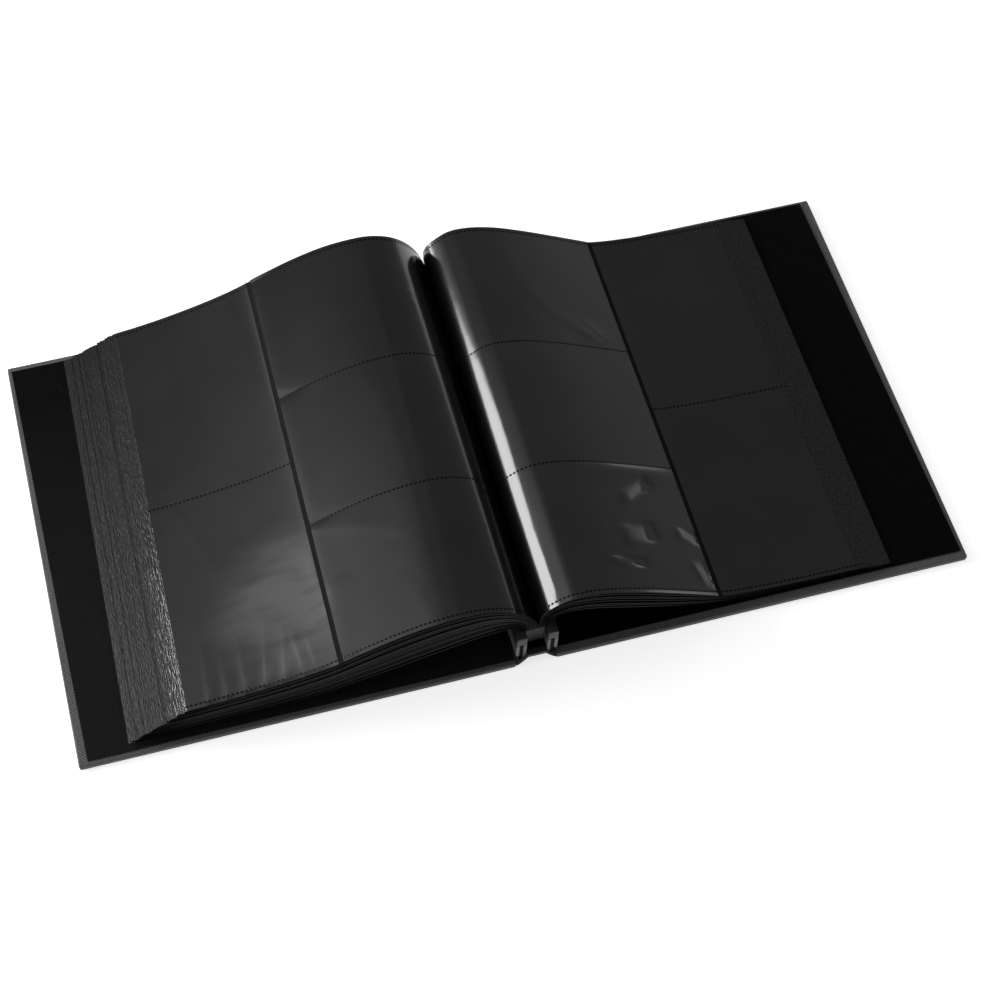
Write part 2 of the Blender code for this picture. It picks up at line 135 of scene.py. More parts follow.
# Folds in the loose film: start and end as length and height on the page, half width, height, gentle side
LEFT_FOLDS = (
    (175, -189, 181, -125, 2.0, 0.7, 4), (184, -194, 190, -120, 2.2, 0.9, 4),
    (208, -199, 194, -115, 2.4, 1.0, 4), (222, -209, 206, -105, 2.4, 1.0, 4),
    (230, -199, 226, -115, 2.2, 0.75, 4), (242, -194, 240, -120, 1.8, 0.5, 4),
    (257, -204, 251, -110, 1.8, 0.5, 4), (250, -1, 231, -64, 2.0, 0.1), (170, -57, 206, -50, 5.0, 0.12),
    (174, -80, 208, -90, 8.0, 0.15), (94, -86, 161, -54, 4.0, 0.3), (161, -107, 138, -100, 4.0, 0.2),
    (104, -112, 100, -150, 5.0, 0.15), (51, 113, 40, 104, 1.5, 0.1), (50, 106, 40, 95, 1.5, 0.1),
    (166, -70, 166, -102, 1.4, 0.2), (161, 400, 161, -400, 14.0, 0.9, 0.05))
# Flatter and sharper parts of the right page's bend in the gutter, as folds that run its whole height
RIGHT_BEND = ((21.5, -400, 18.5, 400, 6.2, 1.5, 0.8), (41, 300, 41, -165, 6.0, 0.65))
RIGHT_FOLDS = (
    (79, 143, 85, 100, 3.0, 0.2), (34.5, -100, 36.8, -190, 2.0, 0.2, 1),
    (83, 106, 112, 73, 3.0, 0.2), (107, 78, 143, 54, 3.0, 0.2), (128, 79, 154, 55, 2.0, 0.15),
    (122, 70, 146, 55, 2.0, 0.15), (172, -55, 66, -55, 3.5, 0.85), (184, -160, 62, -160, 5.0, 1.4),
    (76, -99, 56, -98, 1.6, 0.08), (76, -106, 56, -104, 1.6, 0.08), (186, -126, 192, -154, 2.4, 0.2),
    (200, -130, 212, -155, 2.4, 0.25), (195, -138, 203, -155, 2.0, 0.2), (221, -140, 224, -155, 2.4, 0.16))
# Flat dents in the right page's film: middle, half length and half width, turn in degrees and slope
RIGHT_DENTS = (
    (122, -74, 17.0, 5.5, 29, 0.085), (112, -110, 15.0, 8.0, 10, 0.085), (156, -110, 10.0, 5.0, -10, 0.07),
    (94, -133, 15.0, 3.0, -4, 0.1), (158, -141, 12.0, 6.0, -72, 0.06))

# Rolls of the side light and the overhead light in degrees, and the camera at the photograph's angle
SIDE_ROLL = -13.0
OVERHEAD_TURN = -20.0
CAMERA_PLACE = (-0.210887, -0.690293, 1.205208)
CAMERA_AIM = (0.12460712, 0.47929579, -0.86876269)

# The covers' wrap, the joint cloth and the binding, in millimetres; the rounded edge as inset and height
TURN_IN = 15.0
WRAP_THICKNESS = 0.9
WRAP_EDGE = ((1.3, 0.0), (0.75, 0.12), (0.35, 0.42), (0.1, 0.85), (0.0, 1.4))
WRAP_WAVE, WAVE_RUN_X, WAVE_RUN_Y = 0.06, 23.0, 17.0
CORNER_RADIUS, LEAST_RADIUS = 1.6, 0.3
MITRE_DEPTH = 0.35
SIDE_POINTS, CORNER_POINTS = 36, 5
JOINT_THICKNESS, JOINT_SAG = 0.7, 0.5
JOINT_OUTER_GAP, JOINT_INNER_GAP = 0.25, 0.55
JOINT_POINTS, JOINT_ROWS = 13, 45
RAIL_BEVEL = 0.3
BUNDLE_SINK = 0.2
# Least and most of a fused layer's full thickness, length and height
LAYER_LEAST, LAYER_MOST = (0.84, 0.9955, 0.985), (0.96, 1.0, 1.0)

# Edges that stay sharp, by the angle between their faces, in radians
SHARP_SHEET, SHARP_CLOTH, SHARP_RAIL, SHARP_CORNER = 0.9, 0.6, 0.7, 0.6


def linear(hex_colour):
    """Linear RGBA of an sRGB hex colour."""
    channels = [int(hex_colour[i:i + 2], 16) / 255 for i in (0, 2, 4)]
    return [c / 12.92 if c <= 0.04045 else ((c + 0.055) / 1.055) ** 2.4 for c in channels] + [1.0]


def add(tree, kind, inputs=None, stops=(), **settings):
    """A node with its settings, inputs (values, sockets, or nodes for their first output) and ramp stops."""
    node = tree.nodes.new(kind)
    for name, value in settings.items():
        setattr(node, name, value)
    for key, value in (inputs or {}).items():
        if isinstance(value, bpy.types.Node):
            value = value.outputs[0]
        if isinstance(value, bpy.types.NodeSocket):
            tree.links.new(value, node.inputs[key])
        else:
            node.inputs[key].default_value = value
    for index, (position, colour) in enumerate(stops):
        node.color_ramp.elements[index].position = position
        node.color_ramp.elements[index].color = linear(colour)
    return node


def start_material(name, on_page=False):
    """An empty material, its tree and its places: along and across a page, or in the object's own metres."""
    material = bpy.data.materials.new(name)
    material.use_nodes = True
    tree = material.node_tree
    tree.nodes.clear()
    if on_page:
        return material, tree, add(tree, "ShaderNodeUVMap", uv_map="page").outputs["UV"]
    return material, tree, add(tree, "ShaderNodeTexCoord").outputs["Object"]


def finish_material(tree, shader_inputs):
    """The Principled shader and the output that end a material."""
    shader = add(tree, "ShaderNodeBsdfPrincipled", shader_inputs)
    add(tree, "ShaderNodeOutputMaterial", {"Surface": shader})


def grains(size):
    """Scale of a noise texture whose grains are about so many millimetres across."""
    return 1 / (size * MM)


def bands(pitch):
    """Scale of a diagonal wave texture whose bands lie so many millimetres apart."""
    return 2 * math.pi / 10 / (pitch * MM)


def drawn_grain(tree, place):
    """Faint grain along extruded plastic, 0.7 mm wide and 25 mm long, and the relief that it gives."""
    drawn = add(tree, "ShaderNodeMapping", {"Vector": place,
                                            "Scale": [grains(size) for size in (0.714, 25.0, 0.714)]})
    fibre = add(tree, "ShaderNodeTexNoise", {"Vector": drawn, "Scale": 1.0, "Detail": 3.0})
    return fibre, add(tree, "ShaderNodeBump", {"Height": fibre, "Strength": 0.15, "Distance": 0.1 * MM})


def embossed_leatherette(name, dark, light):
    """Covering material with a slanting rope rib: matt dark grey, light on the ribs' tops."""
    material, tree, place = start_material(name)
    rib = add(tree, "ShaderNodeTexWave", {"Vector": place, "Scale": bands(2.3), "Distortion": 2.0},
              bands_direction="DIAGONAL").outputs["Fac"]
    grit = add(tree, "ShaderNodeTexNoise", {"Vector": place, "Scale": grains(0.8), "Detail": 3.0})
    ribbed = add(tree, "ShaderNodeMath", {0: rib, 1: 0.6}, operation="MULTIPLY")
    height = add(tree, "ShaderNodeMath", {0: grit, 1: 0.9, 2: ribbed}, operation="MULTIPLY_ADD")
    relief = add(tree, "ShaderNodeBump", {"Height": height, "Strength": 0.6, "Distance": 0.4 * MM})
    colour = add(tree, "ShaderNodeValToRGB", {"Fac": height}, stops=((0.3, dark), (1.0, light)))
    finish_material(tree, {"Base Color": colour, "Roughness": 0.56, "Specular IOR Level": 0.4,
                           "Normal": relief})
    return material


def twill_endpaper():
    """Black lining paper with a fine twill grain: nearly black, with painted light that greys it on the left
    towards the foot.

    The twill is drawn 1.3 mm apart, about as fine as can show.
    """
    material, tree, place = start_material("twill_endpaper")
    twill = add(tree, "ShaderNodeTexWave", {"Vector": place, "Scale": bands(1.3), "Distortion": 2.0},
                bands_direction="DIAGONAL").outputs["Fac"]
    fibre = add(tree, "ShaderNodeTexNoise", {"Vector": place, "Scale": grains(0.9), "Detail": 3.0})
    height = add(tree, "ShaderNodeMath", {0: twill, 1: 0.4, 2: fibre}, operation="MULTIPLY_ADD")
    where = add(tree, "ShaderNodeSeparateXYZ", {"Vector": place}).outputs
    # Painted light: the left half of the lining is drawn lighter, the more so towards the foot
    left = add(tree, "ShaderNodeMath", {0: where["X"], 1: -0.015}, operation="LESS_THAN")
    left_light_ramp = add(tree, "ShaderNodeMapRange", {"Value": where["Y"], "From Min": 0.13, "From Max": -0.165,
                                            "To Min": 0.05, "To Max": 1.35})
    painted_left_light = add(tree, "ShaderNodeMath", {0: left_light_ramp, 1: left, 2: 1.0}, operation="MULTIPLY_ADD")
    tone = add(tree, "ShaderNodeMath", {0: height, 1: painted_left_light}, operation="MULTIPLY")
    relief = add(tree, "ShaderNodeBump", {"Height": height, "Strength": 1.0, "Distance": 0.8 * MM})
    colour = add(tree, "ShaderNodeValToRGB", {"Fac": tone}, stops=((0.85, "010101"), (1.0, "222222")))
    finish_material(tree, {"Base Color": colour, "Roughness": 0.4, "Specular IOR Level": 0.03,
                           "Normal": relief})
    return material


def pocket_film():
    """Clear polypropylene film over black card: glossy black, rougher and with painted reflection by the top
    left slit.
    """
    material, tree, place = start_material("polypropylene_pocket_film", on_page=True)
    broad = add(tree, "ShaderNodeTexNoise", {"Vector": place, "Scale": grains(34.0), "Detail": 2.0})
    small = add(tree, "ShaderNodeTexNoise", {"Vector": place, "Scale": grains(7.0), "Detail": 2.0})
    ripple = add(tree, "ShaderNodeMath", {0: small, 1: 0.12, 2: broad}, operation="MULTIPLY_ADD")
    smooth = add(tree, "ShaderNodeBump", {"Height": ripple, "Strength": 0.12, "Distance": 1.2 * MM})

    # A patch of painted reflection in streaks beside the slit of the top left page, on rougher, glossier film
    along = add(tree, "ShaderNodeSeparateXYZ", {"Vector": place}).outputs["X"]
    outer = add(tree, "ShaderNodeMapRange", {"Value": along, "From Min": 0.160, "From Max": 0.166})
    away = add(tree, "ShaderNodeVectorMath", {0: place, 1: GLARE_PLACE},
               operation="DISTANCE").outputs["Value"]
    near = add(tree, "ShaderNodeMapRange", {"Value": away, "From Min": 0.070, "From Max": 0.015},
               interpolation_type="SMOOTHSTEP")
    drawn = add(tree, "ShaderNodeMapping", {"Vector": place, "Rotation": (0, 0, 0.2),
                                            "Scale": (0.3, 1.0, 1.0)})
    patch_noise = add(tree, "ShaderNodeTexNoise", {"Vector": drawn, "Scale": grains(12.0), "Detail": 1.0})
    streak = add(tree, "ShaderNodeMapRange", {"Value": patch_noise, "From Min": 0.3, "From Max": 0.75,
                                              "To Min": 0.5, "To Max": 1.6})
    spot = add(tree, "ShaderNodeMath", {0: near, 1: outer}, operation="MULTIPLY")
    shine_mask = add(tree, "ShaderNodeMath", {0: spot, 1: streak}, operation="MULTIPLY")
    rough = add(tree, "ShaderNodeMapRange", {"Value": shine_mask, "To Min": 0.27, "To Max": 0.40})

    # The gloss, less on the left page's inner column and on the right page's outer column
    inside = add(tree, "ShaderNodeMath", {0: along, 1: RIGHT_OUTER_COLUMN}, operation="LESS_THAN")
    tight = add(tree, "ShaderNodeMath", {0: outer, 1: inside}, operation="MULTIPLY")
    clear = add(tree, "ShaderNodeMapRange", {"Value": tight, "To Min": 0.64, "To Max": 0.82})
    gloss = add(tree, "ShaderNodeMath", {0: shine_mask, 1: 0.2, 2: clear}, operation="MULTIPLY_ADD",
                use_clamp=True)
    cloud = add(tree, "ShaderNodeTexNoise", {"Vector": place, "Scale": grains(60.0), "Detail": 3.0})
    # Painted reflection: the patch lightens the film's base colour
    tone = add(tree, "ShaderNodeMath", {0: cloud, 1: 0.2, 2: shine_mask}, operation="MULTIPLY_ADD")
    colour = add(tree, "ShaderNodeValToRGB", {"Fac": tone}, stops=((0.05, "080809"), (1.0, "444445")))
    finish_material(tree, {"Base Color": colour, "Roughness": rough, "Specular IOR Level": 0.16,
                           "Coat Weight": gloss, "Coat Roughness": 0.12, "Coat IOR": 1.6,
                           "Normal": smooth, "Coat Normal": smooth})
    return material


def embossed_margin():
    """Margin of a leaf outside its film: black card with a pressed grain that glitters at the left foot.

    The grain is drawn 1 mm wide, about as fine as can show, and longer than the real one.
    """
    material, tree, place = start_material("grained_card_margin", on_page=True)
    where = add(tree, "ShaderNodeSeparateXYZ", {"Vector": place}).outputs
    left = add(tree, "ShaderNodeMath", {0: where["X"], 1: RIGHT_PLACES}, operation="LESS_THAN")
    right = add(tree, "ShaderNodeMath", {0: where["X"], 1: RIGHT_PLACES}, operation="GREATER_THAN")
    top_leaf = add(tree, "ShaderNodeMath", {0: where["X"], 1: TOP_LEFT_PLACES}, operation="LESS_THAN")
    drawn = add(tree, "ShaderNodeMapping", {"Vector": place, "Scale": (1.0, 0.22, 1.0)})
    grit = add(tree, "ShaderNodeTexNoise", {"Vector": drawn, "Scale": grains(1.0), "Detail": 3.0})

    # A lighter rim along the fore edge of each left leaf, a speckle on the right leaves
    own = add(tree, "ShaderNodeMath", {0: where["X"], 1: PLACE_STEP * MM}, operation="MODULO")
    rim = add(tree, "ShaderNodeMapRange", {"Value": own, "From Min": RIM_START, "From Max": RIM_END})
    lined = add(tree, "ShaderNodeMath", {0: rim, 1: top_leaf}, operation="MAXIMUM")
    speck = add(tree, "ShaderNodeTexNoise", {"Vector": place, "Scale": grains(1.6), "Detail": 1.0})
    speckle = add(tree, "ShaderNodeMapRange", {"Value": speck, "From Min": 0.35, "From Max": 0.65})
    shine = add(tree, "ShaderNodeMix", {"Factor": right, "A": lined, "B": speckle}).outputs["Result"]
    gloss = add(tree, "ShaderNodeMapRange", {"Value": shine, "To Min": 0.55, "To Max": 1.0})

    # Haze that grows towards the foot of the left leaves, and glitter on the upper ones
    low = add(tree, "ShaderNodeMapRange", {"Value": where["Y"], "From Min": 0.22, "From Max": -0.13})
    worn = add(tree, "ShaderNodeMath", {0: low, 1: left}, operation="MULTIPLY")
    dull = add(tree, "ShaderNodeMapRange", {"Value": worn, "To Min": 0.12, "To Max": 0.62})
    shine_mask = add(tree, "ShaderNodeMapRange", {"Value": shine, "To Min": 0.65})
    haze = add(tree, "ShaderNodeMath", {0: dull, 1: shine_mask}, operation="MULTIPLY")
    upper = add(tree, "ShaderNodeMapRange", {"Value": where["X"], "From Min": UPPER_START,
                                             "From Max": UPPER_END, "To Max": 0.7})
    highest = add(tree, "ShaderNodeMath", {0: top_leaf, 1: upper}, operation="MAXIMUM")
    foot = add(tree, "ShaderNodeMapRange", {"Value": where["Y"], "From Min": 0.01, "From Max": -0.13})
    lit = add(tree, "ShaderNodeMath", {0: foot, 1: left}, operation="MULTIPLY")
    glitter = add(tree, "ShaderNodeMath", {0: lit, 1: highest}, operation="MULTIPLY")
    depth = add(tree, "ShaderNodeMapRange", {"Value": glitter, "To Min": 0.7, "To Max": 1.8})
    rugged = add(tree, "ShaderNodeBump", {"Height": grit, "Strength": depth, "Distance": 0.6 * MM})
    finish_material(tree, {"Base Color": linear("020202"), "Roughness": 0.46, "Specular IOR Level": haze,
                           "Coat Weight": gloss, "Coat Roughness": 0.16, "Coat IOR": 1.55,
                           "Normal": rugged, "Coat Normal": rugged})
    return material


def cut_edge():
    """Cut edge of the leaves: black with thin grey lines of film along it."""
    material, tree, place = start_material("cut_film_edge")
    drawn = add(tree, "ShaderNodeMapping", {"Vector": place,
                                            "Scale": [grains(size) for size in (83.3, 2.5, 1.43)]})
    fibre = add(tree, "ShaderNodeTexNoise", {"Vector": drawn, "Scale": 1.0, "Detail": 1.0})
    colour = add(tree, "ShaderNodeValToRGB", {"Fac": fibre}, stops=((0.45, "010101"), (0.75, "080809")))
    finish_material(tree, {"Base Color": colour, "Roughness": 0.5, "Specular IOR Level": 0.08})
    return material


def fibrous(name, size, detail, dark, light, roughness, specular):
    """A dull material with darker and lighter fibres, at a size in millimetres."""
    material, tree, place = start_material(name)
    fibre = add(tree, "ShaderNodeTexNoise", {"Vector": place, "Scale": grains(size), "Detail": detail})
    colour = add(tree, "ShaderNodeValToRGB", {"Fac": fibre}, stops=((0.3, dark), (0.7, light)))
    finish_material(tree, {"Base Color": colour, "Roughness": roughness, "Specular IOR Level": specular})
    return material


def fused_film():
    """Film fused into a block at the leaves' feet: dark and matt, with a faint grain along it."""
    material, tree, place = start_material("fused_film_ends")
    fibre, relief = drawn_grain(tree, place)
    colour = add(tree, "ShaderNodeValToRGB", {"Fac": fibre}, stops=((0.3, "1a1a1c"), (0.7, "242427")))
    finish_material(tree, {"Base Color": colour, "Roughness": 0.5, "Normal": relief})
    return material


def rail_plastic():
    """Grey extruded rails with a faint grain along them: light on the prongs, darker above, towards the
    leaves.
    """
    material, tree, place = start_material("extruded_grey_plastic")
    fibre, relief = drawn_grain(tree, place)
    height = add(tree, "ShaderNodeSeparateXYZ", {"Vector": place}).outputs["Z"]
    # Darker from 24 to 29 mm up, towards the leaves
    upper_dark = add(tree, "ShaderNodeMapRange", {"Value": height, "From Min": 0.024, "From Max": 0.029})
    prong_grey = add(tree, "ShaderNodeValToRGB", {"Fac": fibre}, stops=((0.3, "6c6c6e"), (0.7, "7e7e81")))
    colour = add(tree, "ShaderNodeMix", {"Factor": upper_dark, "A": prong_grey, "B": linear("161617")},
                 data_type="RGBA").outputs["Result"]
    finish_material(tree, {"Base Color": colour, "Roughness": 0.45, "Normal": relief})
    return material


def rivet_steel():
    """Plated steel rivets: bright grey with a finely uneven sheen."""
    material, tree, place = start_material("plated_rivet_steel")
    mark = add(tree, "ShaderNodeTexNoise", {"Vector": place, "Scale": grains(0.7), "Detail": 2.0})
    rough = add(tree, "ShaderNodeMapRange", {"Value": mark, "To Min": 0.28, "To Max": 0.45})
    colour = add(tree, "ShaderNodeValToRGB", {"Fac": mark}, stops=((0.3, "a8a8a6"), (0.7, "c2c2c0")))
    finish_material(tree, {"Base Color": colour, "Metallic": 1.0, "Roughness": rough})
    return material


def paper_sweep():
    """White paper under the album: white to the eye, with the album's soft shadow."""
    material, tree, place = start_material("white_paper_sweep")
    path = add(tree, "ShaderNodeLightPath").outputs
    direct = add(tree, "ShaderNodeMath", {0: path["Is Camera Ray"], 1: path["Is Glossy Ray"]},
                 operation="MAXIMUM")
    seen = add(tree, "ShaderNodeMath", {0: direct, 1: path["Is Transmission Ray"]}, operation="MAXIMUM")
    away = add(tree, "ShaderNodeVectorMath", {0: place}, operation="LENGTH").outputs["Value"]
    far = add(tree, "ShaderNodeMapRange", {"Value": away, "From Min": 0.8, "From Max": 2.5})
    fade = add(tree, "ShaderNodeMath", {0: far, 1: path["Is Camera Ray"]}, operation="MULTIPLY")
    strength = add(tree, "ShaderNodeMath", {0: fade, 1: 0.5, 2: 0.7}, operation="MULTIPLY_ADD")
    matt = add(tree, "ShaderNodeBsdfDiffuse", {"Color": linear("e6e6e6")})
    glow = add(tree, "ShaderNodeEmission", {"Color": (1, 1, 1, 1), "Strength": strength})
    none = add(tree, "ShaderNodeEmission", {"Color": (0, 0, 0, 1), "Strength": 0.0})
    lit = add(tree, "ShaderNodeMixShader", {0: seen, 1: none, 2: glow})
    both = add(tree, "ShaderNodeAddShader", {0: matt, 1: lit})
    add(tree, "ShaderNodeOutputMaterial", {"Surface": both})
    return material


COVERING = embossed_leatherette("embossed_leatherette", "262627", "69696b")
# Painted shade: the spine's covering is a darker copy of the covers' leatherette
SHADED_SPINE = embossed_leatherette("spine_leatherette", "09090a", "1c1c1d")
LINING = twill_endpaper()
FILM = pocket_film()
MARGIN = embossed_margin()
EDGE = cut_edge()
RAIL = rail_plastic()
FUSED = fused_film()
STEEL = rivet_steel()
# Bare black card in the slit between the pocket columns: nearly black and dull
CARD = fibrous("bare_black_card", 0.8, 3.0, "060606", "0c0c0c", 0.7, 0.12)
# Heat-pressed weld dashes: the film is melted down to the card and looks black
WELD = fibrous("melted_weld_film", 0.4, 2.0, "020202", "080808", 0.6, 0.12)
# Recycled grey board: warm grey with darker and lighter fibres
BOARD = fibrous("recycled_grey_board", 2.0, 4.0, "77736b", "9a958b", 0.92, 0.5)
PAGE_FINISHES = (FILM, CARD, MARGIN, EDGE)
ON_FILM, ON_CARD, ON_MARGIN, ON_EDGE = range(4)


def new_piece(name, mesh):
    """An object for a finished mesh, in the scene."""
    obj = bpy.data.objects.new(name, mesh)
    bpy.context.scene.collection.objects.link(obj)
    return obj


def smooth_by_angle(mesh, angle):
    """Outward faces, smooth but for edges sharper than an angle."""
    shape = bmesh.new()
    shape.from_mesh(mesh)
    bmesh.ops.recalc_face_normals(shape, faces=shape.faces)
    for face in shape.faces:
        face.smooth = True
    for edge in shape.edges:
        edge.smooth = edge.calc_face_angle(0.0) < angle
    shape.to_mesh(mesh)
    shape.free()


def bezier(points, chords):
    """Points along a cubic curve."""
    t = np.linspace(0, 1, chords + 1)[:, None]
    a, b, c, d = (np.array(p) for p in points)
    return (1 - t) ** 3 * a + 3 * (1 - t) ** 2 * t * b + 3 * (1 - t) * t * t * c + t ** 3 * d


def leaf_side(number):
    """-1 for a leaf on the left, +1 for one on the right."""
    return -1 if number <= LEFT_LEAVES else 1


def leaf_foot(number):
    """Where a leaf leaves the rails."""
    return -BUNDLE_HALF + (number - 0.5) * LEAF_PITCH


def leaf_slit(number):
    """Where the slit of a leaf's page lies."""
    return LEFT_SLIT if leaf_side(number) < 0 else RIGHT_SLIT


def leaf_share(number):
    """0 for the bottom leaf of a side, 1 for its top leaf."""
    if leaf_side(number) < 0:
        return (number - 1) / (LEFT_LEAVES - 1)
    return 1 - (number - LEFT_LEAVES - 1) / (RIGHT_LEAVES - 1)


def leaf_line(number, across):
    """Length, x and z along a leaf at one place between its foot (-1) and head (+1)."""
    side, share = leaf_side(number), leaf_share(number)
    bottom, top = (LEFT_BOTTOM, LEFT_TOP) if side < 0 else (RIGHT_BOTTOM, RIGHT_TOP)
    hang = [low + (high - low) * share for low, high in zip(bottom, top)]
    if side < 0:
        hang = [size + twist * share * across for size, twist in zip(hang, LEFT_TWIST)]
    crest_out, crest_rise, slit_out, slit_rise, slope_in, slope_out, edge_out, edge_rise = hang
    foot = np.array((leaf_foot(number), RAIL_TOP))
    crest = foot + (side * crest_out, crest_rise)
    slit = np.array((side * slit_out, LINING_TOP + slit_rise))
    edge = np.array((side * edge_out, LINING_TOP + edge_rise))
    level = np.array((side, 0.0))
    over, down = abs(slit[0] - crest[0]), abs(edge[0] - slit[0])
    arcs = ((foot, foot + np.array((FOOT_LEAN, 1)) * crest_rise * FOOT_PULL,
             crest - level * crest_out * CREST_PULL_IN, crest),
            (crest, crest + level * over * CREST_PULL_OUT,
             slit - np.array((side, -slope_in)) * over * SLIT_PULL_IN, slit),
            (slit, slit + np.array((side, -slope_out)) * down * SLIT_PULL_OUT,
             edge - level * down * EDGE_PULL, edge + level * EDGE_RUN))
    line = np.vstack([bezier(arc, ARC_CHORDS)[1 if index else 0:] for index, arc in enumerate(arcs)])
    length = np.concatenate(([0.0], np.cumsum(np.linalg.norm(np.diff(line, axis=0), axis=1))))
    return length, line[:, 0], line[:, 1]


def leaf_stretch(number, across):
    """How much longer a leaf is than the top leaf, at one place between its foot (-1) and head (+1)."""
    if leaf_side(number) > 0:
        return 1.0
    return 1.0 + (LEFT_BOTTOM_EXTRA - LEFT_SKEW * across) * (1 - leaf_share(number)) / LEAF_LENGTH


def leaf_sheet(number, lengths, heights, shift=0.0):
    """Points and upward normals of a leaf's middle surface, at lengths along it and heights along Y."""
    points = np.zeros((len(lengths), len(heights), 3))
    for column, y in enumerate(heights):
        across = y / LEAF_HALF_HEIGHT
        length, x, z = leaf_line(number, across)
        run = lengths * leaf_stretch(number, across)
        points[:, column, 0] = np.interp(run, length, x)
        points[:, column, 1] = y + shift
        points[:, column, 2] = np.interp(run, length, z)
    normals = np.cross(np.gradient(points, axis=0), np.gradient(points, axis=1)) * leaf_side(number)
    normals /= np.linalg.norm(normals, axis=2, keepdims=True)
    return points, normals


def leaf_bulge(lengths):
    """How far the pockets of a leaf under the open pages bulge on each side, at lengths along it."""
    rise = np.clip((lengths - BULGE_START) / BULGE_RISE, 0, 1)
    fall = np.clip((LEAF_LENGTH - WELD_INSET - lengths) / BULGE_FALL, 0, 1)
    return POCKET_BULGE * rise * rise * (3 - 2 * rise) * fall * fall * (3 - 2 * fall)


def gutter_ease(number, lengths):
    """How far the top right leaf keeps back in the gutter, at lengths along it, for both to lift together."""
    back = np.clip((lengths - GUTTER_WELD) / EASE_RISE, 0, 1)
    back = back * np.clip((EASE_END - lengths) / EASE_FALL, 0, 1)
    return GUTTER_EASE * back * back * (3 - 2 * back) if number == LEFT_LEAVES + 1 else 0.0 * lengths


def weld_lines(number):
    """The weld lines of a page, each from one length and height to another."""
    near = leaf_slit(number) - SLIT_WIDTH / 2 - SLIT_CLEAR
    far = leaf_slit(number) + SLIT_WIDTH / 2 + SLIT_CLEAR
    edge = LEAF_LENGTH - WELD_INSET
    top = LEAF_HALF_HEIGHT - WELD_INSET
    lines = [((DASH_START, y), (near, y)) for y in (-top, top) + INNER_DIVIDERS]
    lines += [((far, y), (edge, y)) for y in (-top, top) + OUTER_DIVIDERS]
    return lines


def fold(s, y, s0, y0, s1, y1, half_width, height, gentle=GENTLE_SIDE):
    """A ridge in the film between two places on the page, steep on its right, fading at its ends."""
    run_s, run_y = s1 - s0, y1 - y0
    length = math.hypot(run_s, run_y)
    share = ((s - s0) * run_s + (y - y0) * run_y) / length ** 2
    aside = ((s - s0) * run_y - (y - y0) * run_s) / length
    fade = np.sin(np.pi * np.clip(share, 0, 1))
    width = np.where(aside > 0, half_width, half_width * gentle)
    return height * fade * np.exp(-(aside / width) ** 2)


def dent(s, y, s0, y0, half_length, half_width, turn, slope):
    """A small flat part of the film that leans outward."""
    cosine, sine = math.cos(math.radians(turn)), math.sin(math.radians(turn))
    along = (s - s0) * cosine + (y - y0) * sine
    aside = (y - y0) * cosine - (s - s0) * sine
    return slope * (s0 - s) * np.exp(-(along / half_length) ** 6 - (aside / half_width) ** 6)


def page_relief(number, lengths, heights):
    """How far the film stands off the card: low at the welds, pillowed and folded between them."""
    s, y = np.meshgrid(lengths, heights, indexing="ij")
    slit = leaf_slit(number)
    border = LEAF_LENGTH - WELD_INSET
    inner = s < slit
    to_inner = np.abs(s - GUTTER_WELD)
    for divider in INNER_DIVIDERS:
        to_inner = np.minimum(to_inner, np.abs(y - divider))
    to_outer = np.abs(s - border)
    for divider in OUTER_DIVIDERS:
        to_outer = np.minimum(to_outer, np.abs(y - divider))
    to_ends = np.abs(LEAF_HALF_HEIGHT - WELD_INSET - np.abs(y))
    to_weld = np.minimum(np.where(inner, to_inner, to_outer), to_ends)
    loose = 1 - np.exp(-to_weld / WELD_REACH)
    ridges, dents = (LEFT_FOLDS, ()) if leaf_side(number) < 0 else (RIGHT_FOLDS, RIGHT_DENTS)
    folds = sum(fold(s, y, *each) for each in ridges) + sum(dent(s, y, *each) for each in dents)
    flat = np.clip((s - GUTTER_WELD) / FLAT_RUN, FLAT_LEAST, 1)
    lift = FILM_LIFT * flat + (FILM_PILLOW + folds) * loose
    bare = (np.abs(s - slit) < SLIT_WIDTH / 2) | (s > border + FILM_EDGE)
    bend = sum(fold(s, y, *each) for each in RIGHT_BEND) if leaf_side(number) > 0 else 0.0
    return np.where(bare, 0.0, lift) + bend - gutter_ease(number, s)


def spaced(start, end, step, extra=()):
    """Even places from start to end, with some more put in."""
    places = np.linspace(start, end, max(2, int(round((end - start) / step)) + 1))
    keep = [p for p in places if all(abs(p - e) > NET_CLEAR * step for e in extra)]
    return np.array(sorted(set(keep) | set(extra)))


def around(places, offsets):
    """Places with others set off on both sides."""
    return tuple(place + sign * offset for place in places for sign in (-1, 1) for offset in offsets)


def page_finish(number, lengths, heights):
    """The finish of each face of a page: film, bare card in the slit, margin beyond the film."""
    middle = (lengths[:-1] + lengths[1:]) / 2
    finish = np.full((len(lengths) - 1, len(heights) - 1), ON_FILM)
    finish[np.abs(middle - leaf_slit(number)) < SLIT_WIDTH / 2, :] = ON_CARD
    finish[middle > LEAF_LENGTH - WELD_INSET, :] = ON_MARGIN
    return finish


